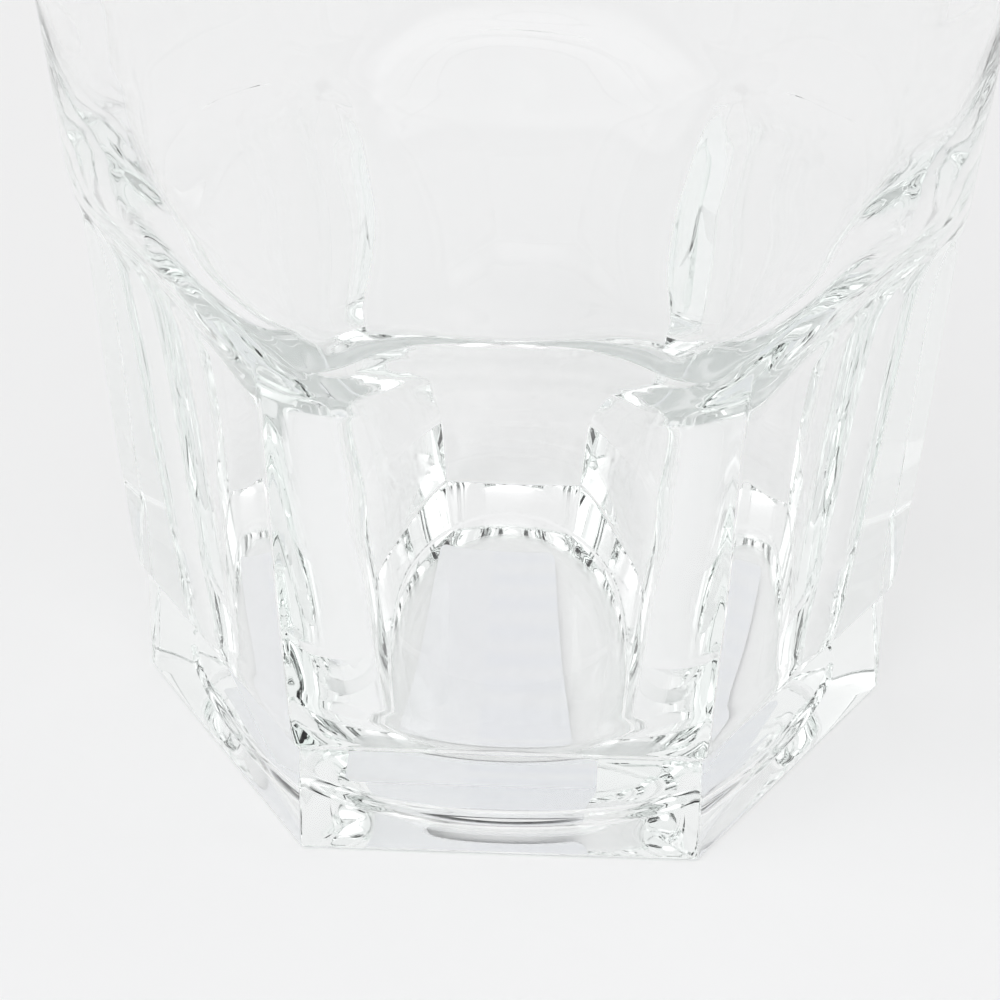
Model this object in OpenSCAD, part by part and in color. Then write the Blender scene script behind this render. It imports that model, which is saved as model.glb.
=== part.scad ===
// Whiskey tumbler in pressed glass: a hexagonal foot, six drafted facets that sweep out
// under arched tops, and a round bowl. A paper label is stuck in the recess underneath.

/* [Foot] */
// Width of the hexagonal foot across its corners
foot_w = 60; // [54:1:66]
// Height of the upright band around the foot
band_h = 9.2; // [7:0.2:12]
// Chamfer on the bottom edge of the foot
foot_chamfer = 0.5; // [0.3:0.1:1]
// Radius of the round recess in the underside
recess_r = 20; // [18:0.5:21]
// Depth of the recess
recess_h = 0.9; // [0.6:0.1:1.5]

/* [Facets] */
// How far the facets stand out beyond the foot band
facet_step = 0.5; // [0.2:0.1:0.8]
// Outward draft of a facet above the foot band, in mm per mm of height
facet_draft = 0.098; // [0.09:0.002:0.104]
// Height at which a facet starts to sweep outwards
sweep_start = 40; // [38.5:0.5:41]
// Height at which the sweep has moved out by sweep_out
sweep_end = 48; // [47:0.5:49]
// Outward travel of the sweep
sweep_out = 4.6; // [4.4:0.1:5.4]
// Power of the sweep curve: higher turns later and harder
sweep_power = 2; // [1.6:0.1:2.6]

/* [Bowl] */
// Overall height of the tumbler
total_h = 100; // [90:1:115]
// Radius of the shoulder above the facets
shoulder_r = 34.4; // [33:0.1:36]
// Height of the shoulder
shoulder_z = 45; // [42:0.5:48]
// Radius of the rim on the outside
rim_r = 40; // [37:0.5:44]
// Thickness of the bowl wall at the rim
wall = 3; // [2:0.1:4]

/* [Cavity] */
// Thickness of the solid base, floor to underside
base_t = 3; // [3:0.5:6]
// Radius of the flat floor inside
floor_r = 12; // [9:0.5:14]
// Radius of the cavity just above the rounded bottom edge
cavity_r = 20.5; // [18:0.5:21]
// Height at which the rounded bottom edge ends
cavity_z = 12.6; // [11:0.2:16]
// Radius of the cavity below the shoulder
waist_r = 25.5; // [24:0.5:26]
// Height of that waist
waist_z = 40; // [37:0.5:41]
// Radius of the cavity above the shoulder
upper_r = 31; // [30:0.2:31.4]
// Height at which the cavity reaches that radius
upper_z = 56; // [54:0.5:60]

/* [Label] */
// Width of the paper label
label_w = 19.6; // [14:0.2:20]
// Length of the paper label
label_l = 25; // [18:1:26]
// Sideways offset of the label from the middle
label_x = -2.6; // [-3:0.2:3]
// Thickness of the paper
label_t = 0.15; // [0.1:0.05:0.3]

/* [Hidden] */
$fn = 180;
foot_a = foot_w / 2 * cos(30);
rim_round = wall / 2;
curve_steps = 7;
// Turned surfaces start at this angle, clear of every corner and facet middle
seam_angle = 13;

// Distance of a facet from the axis at height z
function facet_at(z) =
  foot_a + facet_step + facet_draft * (z - band_h)
  + sweep_out * pow(max(0, (z - sweep_start) / (sweep_end - sweep_start)), sweep_power);

// Smooth step between two values
function ease(a, b, t) = a + (b - a) * t * t * (3 - 2 * t);

// Side profile that one facet cuts away, in distance from the axis and height
function facet_profile() = concat(
  [[foot_a - foot_chamfer - 1, -1], [foot_a, foot_chamfer], [foot_a, band_h]],
  [[facet_at(band_h + facet_step), band_h + facet_step]],
  [for (i = [0 : curve_steps]) let (z = sweep_start + (sweep_end + 0.8 - sweep_start) * i / curve_steps)
    [facet_at(z) + (i == curve_steps ? 0.4 : 0), z]],
  [[foot_w, sweep_end + 0.8], [foot_w, -1]]
);

// Outside of the bowl as it is turned, before the facets are cut
function bowl_profile() = concat(
  [[0, 0], [foot_w / 2 + 3, 0], [foot_w / 2 + 3, 26]],
  [for (i = [1 : 5]) let (t = i / 5) [ease(foot_w / 2 + 3, shoulder_r, t), 26 + (shoulder_z - 26) * t]],
  [for (i = [1 : 8]) let (t = i / 8)
    [shoulder_r + (rim_r - shoulder_r) * (0.8 * t + 0.2 * (1 - (1 - t) * (1 - t))),
     shoulder_z + (total_h - rim_round - shoulder_z) * t]],
  [for (i = [1 : 6]) [rim_r - rim_round + rim_round * cos(i * 15), total_h - rim_round + rim_round * sin(i * 15)]],
  [[0, total_h]]
);

// Inside of the glass, from the middle of the floor up through the rim
function cavity_profile() = concat(
  [[0, base_t]],
  [for (i = [0 : 6]) [floor_r + (cavity_r - floor_r) * sin(i * 15), base_t + (cavity_z - base_t) * (1 - cos(i * 15))]],
  [for (i = [1 : 4]) let (t = i / 4) [cavity_r + (waist_r - cavity_r) * t, cavity_z + (waist_z - cavity_z) * t]],
  [for (i = [1 : 8]) let (t = i / 8) [ease(waist_r, upper_r, t), waist_z + (upper_z - waist_z) * t]],
  [[rim_r - wall, total_h - rim_round]],
  [for (i = [1 : 5]) [rim_r - wall + rim_round * (1 - cos(i * 15)), total_h - rim_round + rim_round * sin(i * 15)]],
  [[rim_r - rim_round, total_h + 1], [0, total_h + 1]]
);

// One cutter that takes the turned blank down to one facet
module facet_cutter() {
  rotate([90, 0, 0])
    linear_extrude(height = foot_w * 1.6, center = true)
      polygon(facet_profile());
}

// Recess in the underside, with a sloped edge
module underside_recess() {
  rotate_extrude()
    polygon([[0, -1], [recess_r, -1], [recess_r, 0], [recess_r - recess_h * 2, recess_h], [0, recess_h]]);
}

// The whole glass in one piece, as it leaves the mould
module glass_body() {
  color([0.86, 0.93, 0.90, 0.45])
    difference() {
      rotate([0, 0, seam_angle]) rotate_extrude() polygon(bowl_profile());
      for (i = [0 : 5]) rotate([0, 0, 30 + 60 * i]) facet_cutter();
      rotate([0, 0, seam_angle]) rotate_extrude() polygon(cavity_profile());
      rotate([0, 0, seam_angle]) underside_recess();
    }
}

// Blank paper label stuck to the roof of the recess
module base_label() {
  color([0.93, 0.93, 0.97])
    translate([label_x - label_w / 2, -label_l / 2, recess_h - label_t])
      cube([label_w, label_l, label_t]);
}

glass_body();
base_label();
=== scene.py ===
import math

import bpy
import numpy as np
from mathutils import Matrix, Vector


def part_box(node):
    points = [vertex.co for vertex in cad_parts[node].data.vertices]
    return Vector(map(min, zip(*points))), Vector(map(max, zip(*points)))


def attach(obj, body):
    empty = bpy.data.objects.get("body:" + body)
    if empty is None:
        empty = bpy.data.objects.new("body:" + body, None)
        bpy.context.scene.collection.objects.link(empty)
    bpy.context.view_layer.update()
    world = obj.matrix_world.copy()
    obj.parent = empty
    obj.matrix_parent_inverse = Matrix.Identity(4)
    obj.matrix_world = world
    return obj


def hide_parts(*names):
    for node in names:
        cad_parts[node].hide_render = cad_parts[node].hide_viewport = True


MM = 0.001
SECTOR = math.radians(60)
HALF = SECTOR / 2

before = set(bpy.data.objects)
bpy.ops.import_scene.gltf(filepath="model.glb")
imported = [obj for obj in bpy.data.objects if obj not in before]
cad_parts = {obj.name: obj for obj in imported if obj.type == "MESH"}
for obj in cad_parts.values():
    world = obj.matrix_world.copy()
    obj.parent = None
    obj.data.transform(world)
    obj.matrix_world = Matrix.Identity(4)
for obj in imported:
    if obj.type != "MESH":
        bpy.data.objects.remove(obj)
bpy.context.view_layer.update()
glass_lo, glass_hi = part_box("glass_body")
label_lo, label_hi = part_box("base_label")

# ---- Shape of the glass, in mm: (height, size) pairs joined by smooth curves ----
TOP = glass_hi.z / MM
RIM = min(glass_hi.x, glass_hi.y, -glass_lo.x, -glass_lo.y) / MM
# The rim is a half round, so the wall there is twice its radius
RIM_ROUND = 1.5
LIP = TOP - RIM_ROUND
# Distance of a facet from the axis: foot band, small step, drafted facet, outward sweep
FACET = [(0, 25.98), (8.9, 25.98), (9.6, 26.45), (16.5, 27.3), (24, 28.0), (30, 28.45), (36, 28.95),
         (39.5, 29.4), (41.5, 30.0), (43.7, 31.2), (46.3, 32.65), (50, 35), (56, 40), (62, 46)]
# Outside radius of the bowl at a corner, and how much less it is above a facet middle
BOWL = [(27, 33.6), (36, 34.0), (40.5, 34.1), (45, 34.3), (51, 34.9), (60, 35.8), (LIP, RIM)]
BOWL_DIP = [(30, 1.1), (47, 1.1), (66, 0)]
# The sweep of each facet meets the bowl in an arch: its height at a facet middle and at a corner
ARCH_MID = 47.2
ARCH_CORNER = 40.5
ARCH_POWER = 2.9
# Over how many mm the facet melts into the bowl there
ARCH_SOFT = 1.2
# Above this height the rings of the mesh bend to follow the arches
BEND_FROM = 35
# Inside: (height at a facet middle, height at a corner, radius at a facet middle, radius at a corner)
INSIDE = [(9.5, 9.5, 19.7, 19.7), (18, 18, 21.4, 21.4), (24, 24, 22.6, 22.6), (30, 30, 23.7, 23.7),
          (38.2, 36.6, 25.2, 24.8), (40.5, 38.0, 25.8, 25.3), (42.5, 39.4, 26.8, 26.4),
          (44.5, 41.0, 28.0, 27.8), (46.1, 42.7, 28.9, 29.3), (47.9, 44.9, 29.6, 30.4),
          (50.7, 48.4, 30.5, 31.1), (54.7, 53.4, 31.6, 31.8), (60, 59, 32.6, 32.7),
          (LIP, LIP, RIM - 2 * RIM_ROUND, RIM - 2 * RIM_ROUND)]
# How closely the inside keeps to the facet-middle profile before it turns into the corner profile
CORNER_POWER = 5
# Over how many mm the flat sides of the inside melt into its rounded corners
INSIDE_SOFT = 1.2
# The inside is plainly round unless its corner radius is more than this times its middle radius
ROUND_RATIO = 1.002
# Flat floor inside, rounded facet corners, recess in the underside and its sloped edge, bottom chamfer
FLOOR_R = 11.0
FLOOR_Z = 3.1
EDGE_ROUND = 0.35
RECESS_R = 20.0
RECESS_SLOPE = 1.8
CHAMFER = 0.45

# ---- Label, in mm ----
LABEL_CORNER = 1.2
# How far the paper is pressed into the glass, so that no air lies between them
LABEL_PRESS = 0.01

# ---- Camera and stage, in metres and radians, the lens in mm ----
CAMERA_PLACE = np.array([0.007836, -0.225846, 0.138099])
CAMERA_DOWN = 0.4936
CAMERA_YAW = -0.04023
CAMERA_ROLL = 0.01059
CAMERA_LENS = 115.13
TABLE_HALF = 1.2
# The table lies this far below the foot, so that the two faces are not in one plane
TABLE_GAP = 3e-5


# ---- Curves and sections ----
def curve(x, points):
    """Smooth curve without overshoot through (x, y) points."""
    xs = np.array([p[0] for p in points], float)
    ys = np.array([p[1] for p in points], float)
    h, d = np.diff(xs), np.diff(ys) / np.diff(xs)
    m = np.zeros_like(xs)
    m[0], m[-1] = d[0], d[-1]
    for i in range(1, len(xs) - 1):
        if d[i - 1] * d[i] > 0:
            m[i] = (h[i - 1] + h[i]) * 3 / ((2 * h[i] + h[i - 1]) / d[i - 1] + (h[i] + 2 * h[i - 1]) / d[i])
    x = np.clip(np.asarray(x, float), xs[0], xs[-1])
    i = np.clip(np.searchsorted(xs, x) - 1, 0, len(xs) - 2)
    t = (x - xs[i]) / h[i]
    return (ys[i] * (2 * t**3 - 3 * t**2 + 1) + h[i] * m[i] * (t**3 - 2 * t**2 + t)
            + ys[i + 1] * (3 * t**2 - 2 * t**3) + h[i] * m[i + 1] * (t**3 - t**2))


def hexagon(a, phi, fillet):
    """Distance to the side of a hexagon of apothem a, its corners rounded by fillet."""
    a = np.broadcast_to(a, phi.shape)
    d = (a - fillet) / math.cos(HALF)
    psi = HALF - np.abs(phi)
    turn = np.arctan((a - fillet) * math.tan(HALF) / a)
    corner = d * np.cos(psi) + np.sqrt(np.maximum(fillet**2 - (d * np.sin(psi))**2, 0))
    return np.where(np.abs(phi) > turn, corner, a / np.cos(phi))


def soft_min(x, y, k):
    """The smaller of x and y, with the turn from one to the other rounded over k."""
    h = np.maximum(k - np.abs(x - y), 0) / k
    return np.minimum(x, y) - h * h * k / 4


def angles(steps):
    """Angles round the glass, closer together near the corners. A corner lies on +X, a facet faces -Y."""
    even = 0.12
    t = np.linspace(-1, 1, steps + 1)[:-1]
    phi = HALF * (even * t + (1 - even) * np.sin(math.pi / 2 * t))
    theta = np.concatenate([math.radians(-90) + k * SECTOR + phi for k in range(6)])
    return theta, np.tile(phi, 6)


# Angle round the glass, and the same angle measured from the nearest facet middle
THETA, PHI = angles(56)


# ---- Rings of the glass, from the middle of the underside out, up, over the rim and down ----
def ring(z, r):
    """One ring, its height and radius each a number or one number per angle."""
    z, r = np.broadcast_to(z, THETA.shape), np.broadcast_to(r, THETA.shape)
    return np.stack([r * np.cos(THETA), r * np.sin(THETA), z], 1)


def underside_rings():
    roof = label_hi.z / MM
    rings = [ring(roof, r) for r in np.linspace(4, RECESS_R - RECESS_SLOPE, 5)]
    for t in np.linspace(0, 1, 7)[1:]:
        rings.append(ring(roof * (1 - t * t * (3 - 2 * t)), RECESS_R - RECESS_SLOPE * (1 - t)))
    foot = FACET[0][1]
    for t in np.linspace(0, math.pi / 2, 7):
        side = hexagon(foot - CHAMFER * (1 - math.sin(t)), PHI, EDGE_ROUND)
        rings.append(ring(CHAMFER * (1 - math.cos(t)), side))
    return rings


def outside(z):
    """Radius of the outside at height z: the facet or the bowl, whichever is nearer the axis."""
    facet = hexagon(curve(z, FACET), PHI, EDGE_ROUND)
    bowl = curve(z, BOWL) - curve(z, BOWL_DIP) * (1 + np.cos(6 * PHI)) / 2
    return soft_min(facet, bowl, ARCH_SOFT)


def outside_rings():
    band = np.linspace(1.5, 8.5, 6)
    step = np.linspace(8.8, 9.8, 9)
    panel = np.linspace(11, BEND_FROM, 14)
    rings = [ring(z, outside(z)) for z in np.concatenate([band, step, panel])]
    arch = ARCH_MID - (ARCH_MID - ARCH_CORNER) * (np.abs(PHI) / HALF)**ARCH_POWER
    # Rings lie closer together on both sides of the arch
    for f in 1 - (1 - np.linspace(0, 1, 30)[1:])**1.8:
        z = BEND_FROM + (arch - BEND_FROM) * f
        rings.append(ring(z, outside(z)))
    for f in np.linspace(0, 1, 56)[1:]**2.2:
        z = arch + (LIP - arch) * f
        rings.append(ring(z, outside(z)))
    return rings


def rim_rings():
    return [ring(LIP + RIM_ROUND * math.sin(t), RIM - RIM_ROUND + RIM_ROUND * math.cos(t))
            for t in np.linspace(0, math.pi, 13)[1:-1]]


def inside_rings():
    """The inside from the rim down. At each angle it lies between the middle's and the corner's profile."""
    rings = []
    w = np.sin(np.abs(PHI) / HALF * math.pi / 2)**CORNER_POWER
    columns = [[(k, row[j]) for k, row in enumerate(INSIDE)] for j in range(4)]
    for s in np.linspace(len(INSIDE) - 1, 0, 170):
        z_mid, z_corner, r_mid, r_corner = (float(curve(s, column)) for column in columns)
        side = r_mid
        if r_corner > r_mid * ROUND_RATIO:
            side = soft_min(r_mid / np.cos(PHI), np.full(PHI.shape, r_corner), INSIDE_SOFT)
        rings.append(ring(z_mid + (z_corner - z_mid) * w, side))
    return rings


def floor_rings():
    """The rounded bottom edge of the inside and its flat floor."""
    z0, r0 = INSIDE[0][0], INSIDE[0][2]
    rings = [ring(FLOOR_Z + (z0 - FLOOR_Z) * (1 - math.sin(t)), FLOOR_R + (r0 - FLOOR_R) * math.cos(t))
             for t in np.linspace(0, math.pi / 2, 20)[1:]]
    return rings + [ring(FLOOR_Z, r) for r in (8, 5, 2)]


# ---- Meshes ----
def new_object(name, verts, faces):
    mesh = bpy.data.meshes.new(name)
    mesh.from_pydata(verts, [], faces)
    mesh.update()
    obj = bpy.data.objects.new(name, mesh)
    bpy.context.scene.collection.objects.link(obj)
    return obj


def strips(rings, n):
    """Faces between rings of n points each, numbered ring by ring."""
    return [(j * n + i, j * n + (i + 1) % n, (j + 1) * n + (i + 1) % n, (j + 1) * n + i)
            for j in range(rings - 1) for i in range(n)]


def lofted(name, rings):
    """A closed skin over the rings, with a fan round a point on the axis at each end."""
    m, n = rings.shape[:2]
    verts = [tuple(v * MM) for v in rings.reshape(-1, 3)]
    verts += [(0, 0, rings[0, 0, 2] * MM), (0, 0, rings[-1, 0, 2] * MM)]
    faces = strips(m, n)
    faces += [(m * n, (i + 1) % n, i) for i in range(n)]
    faces += [(m * n + 1, (m - 1) * n + i, (m - 1) * n + (i + 1) % n) for i in range(n)]
    obj = new_object(name, verts, faces)
    for p in obj.data.polygons:
        p.use_smooth = True
    obj.data.set_sharp_from_angle(angle=math.radians(14))
    return obj


def label_sheet(name):
    """A thin sheet with rounded corners, its top pressed into the glass by a hair."""
    x0, y0, z0 = (v / MM for v in label_lo)
    x1, y1, z1 = (v / MM for v in label_hi)
    steps = 6
    outline = []
    left, right = x0 + LABEL_CORNER, x1 - LABEL_CORNER
    front, back = y0 + LABEL_CORNER, y1 - LABEL_CORNER
    for cx, cy, a in ((right, front, -90), (right, back, 0), (left, back, 90), (left, front, 180)):
        for i in range(steps + 1):
            t = math.radians(a + 90 * i / steps)
            outline.append((cx + LABEL_CORNER * math.cos(t), cy + LABEL_CORNER * math.sin(t)))
    n = len(outline)
    cx, cy = (x0 + x1) / 2, (y0 + y1) / 2
    top = z1 + LABEL_PRESS
    verts = []
    for z, k in ((z0, 0.5), (z0, 1.0), (top, 1.0), (top, 0.5)):
        verts += [((cx + (x - cx) * k) * MM, (cy + (y - cy) * k) * MM, z * MM) for x, y in outline]
    faces = strips(4, n)
    faces += [tuple(reversed(range(n))), tuple(3 * n + i for i in range(n))]
    return new_object(name, verts, faces)


# ---- Nodes ----
def add(tree, kind, **settings):
    node = tree.nodes.new(kind)
    for key, value in settings.items():
        setattr(node, key, value)
    return node


def coordinates(tree, output="Object"):
    return add(tree, "ShaderNodeTexCoord").outputs[output]


def axis(tree, vector, name):
    """One of X, Y and Z of a vector."""
    split = add(tree, "ShaderNodeSeparateXYZ")
    tree.links.new(vector, split.inputs[0])
    return split.outputs[name]


def mapped(tree, value, start, end, low=0.0, high=1.0, kind="SMOOTHSTEP"):
    """A value taken from the range start to end into the range low to high."""
    node = add(tree, "ShaderNodeMapRange", interpolation_type=kind)
    node.inputs["From Min"].default_value = start
    node.inputs["From Max"].default_value = end
    node.inputs["To Min"].default_value = low
    node.inputs["To Max"].default_value = high
    tree.links.new(value, node.inputs["Value"])
    return node.outputs[0]


def combined(tree, operation, a, b):
    """Two values combined, the second one a node's output or a number."""
    node = add(tree, "ShaderNodeMath", operation=operation)
    tree.links.new(a, node.inputs[0])
    if isinstance(b, float):
        node.inputs[1].default_value = b
    else:
        tree.links.new(b, node.inputs[1])
    return node.outputs[0]


def ramp(tree, value, first, last):
    """A colour between two, by a value from 0 to 1."""
    node = add(tree, "ShaderNodeValToRGB")
    node.color_ramp.elements[0].color = first
    node.color_ramp.elements[1].color = last
    tree.links.new(value, node.inputs[0])
    return node.outputs[0]


def noise(tree, vector, scale, detail):
    node = add(tree, "ShaderNodeTexNoise")
    node.inputs["Scale"].default_value = scale
    node.inputs["Detail"].default_value = detail
    tree.links.new(vector, node.inputs["Vector"])
    return node.outputs["Fac"]


# ---- Materials ----
def new_material(name):
    material = bpy.data.materials.new(name)
    material.use_nodes = True
    tree = material.node_tree
    return material, tree, tree.nodes["Principled BSDF"]


def glass_material():
    """Clear glass, faintly green by thickness, with faint ripples left by the mould round the shoulder."""
    material, tree, shader = new_material("clear_pressed_glass")
    shader.inputs["Base Color"].default_value = (1, 1, 1, 1)
    shader.inputs["IOR"].default_value = 1.5
    shader.inputs["Transmission Weight"].default_value = 1.0
    shader.inputs["Roughness"].default_value = 0.0
    tint = add(tree, "ShaderNodeVolumeAbsorption")
    tint.inputs["Color"].default_value = (0.55, 0.93, 0.75, 1)
    tint.inputs["Density"].default_value = 1.15
    tree.links.new(tint.outputs[0], tree.nodes["Material Output"].inputs["Volume"])
    place = coordinates(tree)
    height = axis(tree, place, "Z")
    rise = mapped(tree, height, 0.036, 0.041)
    fall = mapped(tree, height, 0.048, 0.042)
    shoulder = combined(tree, "MULTIPLY", rise, fall)
    ripple = combined(tree, "MULTIPLY", noise(tree, place, 420, 1.0), shoulder)
    bump = add(tree, "ShaderNodeBump")
    bump.inputs["Strength"].default_value = 0.25
    bump.inputs["Distance"].default_value = 0.00004
    tree.links.new(ripple, bump.inputs["Height"])
    tree.links.new(bump.outputs[0], shader.inputs["Normal"])
    return material


def paper_material():
    """Pale paper with fibres, and plain faint bars across part of it, where a printed label has its print."""
    material, tree, shader = new_material("label_paper")
    shader.inputs["Roughness"].default_value = 0.7
    place = coordinates(tree)
    paper = ramp(tree, noise(tree, place, 900, 6), (0.87, 0.87, 0.885, 1), (0.93, 0.93, 0.945, 1))
    bars = add(tree, "ShaderNodeTexWave", bands_direction="Y")
    bars.inputs["Scale"].default_value = 95
    bars.inputs["Distortion"].default_value = 0.0
    tree.links.new(place, bars.inputs["Vector"])
    part = mapped(tree, axis(tree, place, "X"), -0.0035, -0.0025, kind="LINEAR")
    faint = combined(tree, "MULTIPLY", combined(tree, "MULTIPLY", bars.outputs["Fac"], part), 0.12)
    ink = add(tree, "ShaderNodeMix", data_type="RGBA")
    ink.inputs["B"].default_value = (0.70, 0.74, 0.86, 1)
    tree.links.new(paper, ink.inputs["A"])
    tree.links.new(faint, ink.inputs["Factor"])
    tree.links.new(ink.outputs["Result"], shader.inputs["Base Color"])
    return material


def table_material():
    """A plain pale table, painted a little lighter towards the front, where more light falls on it."""
    material, tree, shader = new_material("table_top")
    shader.inputs["Roughness"].default_value = 0.7
    shader.inputs["Specular IOR Level"].default_value = 0.2
    # Painted light: the base colour is lighter towards the front, standing in for the brighter light falling
    # there
    near = mapped(tree, axis(tree, coordinates(tree), "Y"), 0.02, -0.10, kind="LINEAR")
    tone_with_painted_light = ramp(tree, near, (0.875, 0.875, 0.875, 1), (0.935, 0.935, 0.94, 1))
    tree.links.new(tone_with_painted_light, shader.inputs["Base Color"])
    return material


# ---- Light and camera ----
def studio_world():
    """Even pale light, a little dimmer in front and overhead, with a broad soft box above the front left."""
    world = bpy.data.worlds.new("studio")
    world.use_nodes = True
    tree = world.node_tree
    tree.nodes.clear()
    direction = coordinates(tree, "Generated")
    front = mapped(tree, axis(tree, direction, "Y"), -1.0, -0.2, 0.8, 1.0)
    sky = mapped(tree, axis(tree, direction, "Z"), 0.35, 0.85, 0.90, 0.85)
    towards = add(tree, "ShaderNodeVectorMath", operation="DOT_PRODUCT")
    towards.inputs[1].default_value = (-0.25, -0.60, 0.76)
    tree.links.new(direction, towards.inputs[0])
    box = mapped(tree, towards.outputs["Value"], 0.78, 0.95, 0.0, 0.75)
    background = add(tree, "ShaderNodeBackground")
    background.inputs["Color"].default_value = (1.0, 1.0, 1.003, 1)
    strength = combined(tree, "ADD", combined(tree, "MULTIPLY", sky, front), box)
    tree.links.new(strength, background.inputs["Strength"])
    output = add(tree, "ShaderNodeOutputWorld")
    tree.links.new(background.outputs[0], output.inputs["Surface"])
    return world


def photo_camera():
    data = bpy.data.cameras.new("camera")
    data.lens = CAMERA_LENS
    data.sensor_width = 36
    data.clip_start = 0.01
    camera = bpy.data.objects.new("camera", data)
    bpy.context.scene.collection.objects.link(camera)
    level = math.cos(CAMERA_DOWN)
    ahead = np.array([math.sin(CAMERA_YAW) * level, math.cos(CAMERA_YAW) * level, -math.sin(CAMERA_DOWN)])
    right = np.cross(ahead, [0, 0, 1])
    right /= np.linalg.norm(right)
    up = np.cross(right, ahead)
    x = math.cos(CAMERA_ROLL) * right + math.sin(CAMERA_ROLL) * up
    y = math.cos(CAMERA_ROLL) * up - math.sin(CAMERA_ROLL) * right
    columns = zip(x, y, -ahead, CAMERA_PLACE)
    camera.matrix_world = Matrix([list(row) for row in columns] + [[0, 0, 0, 1]])
    return camera


# ---- The object ----
glass_rings = underside_rings() + outside_rings() + rim_rings() + inside_rings() + floor_rings()
glass = lofted("tumbler_glass", np.array(glass_rings))
glass.data.materials.append(glass_material())
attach(glass, "root")
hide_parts("glass_body")

label = label_sheet("label_sheet")
label.data.materials.append(paper_material())
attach(label, "root")
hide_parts("base_label")

# ---- The stage ----
corners = [(TABLE_HALF * x, TABLE_HALF * y, -TABLE_GAP) for x, y in ((-1, -1), (1, -1), (1, 1), (-1, 1))]
table = new_object("table_top", corners, [(0, 1, 2, 3)])
table.data.materials.append(table_material())

scene = bpy.context.scene
scene.world = studio_world()
scene.camera = photo_camera()
# Light has to pass through many glass faces, so the paths are long and nothing is clamped or blurred
scene.cycles.max_bounces = 24
scene.cycles.transmission_bounces = 24
scene.cycles.glossy_bounces = 16
scene.cycles.diffuse_bounces = 6
scene.cycles.blur_glossy = 0.0
scene.cycles.sample_clamp_indirect = 0
scene.view_settings.view_transform = "Standard"
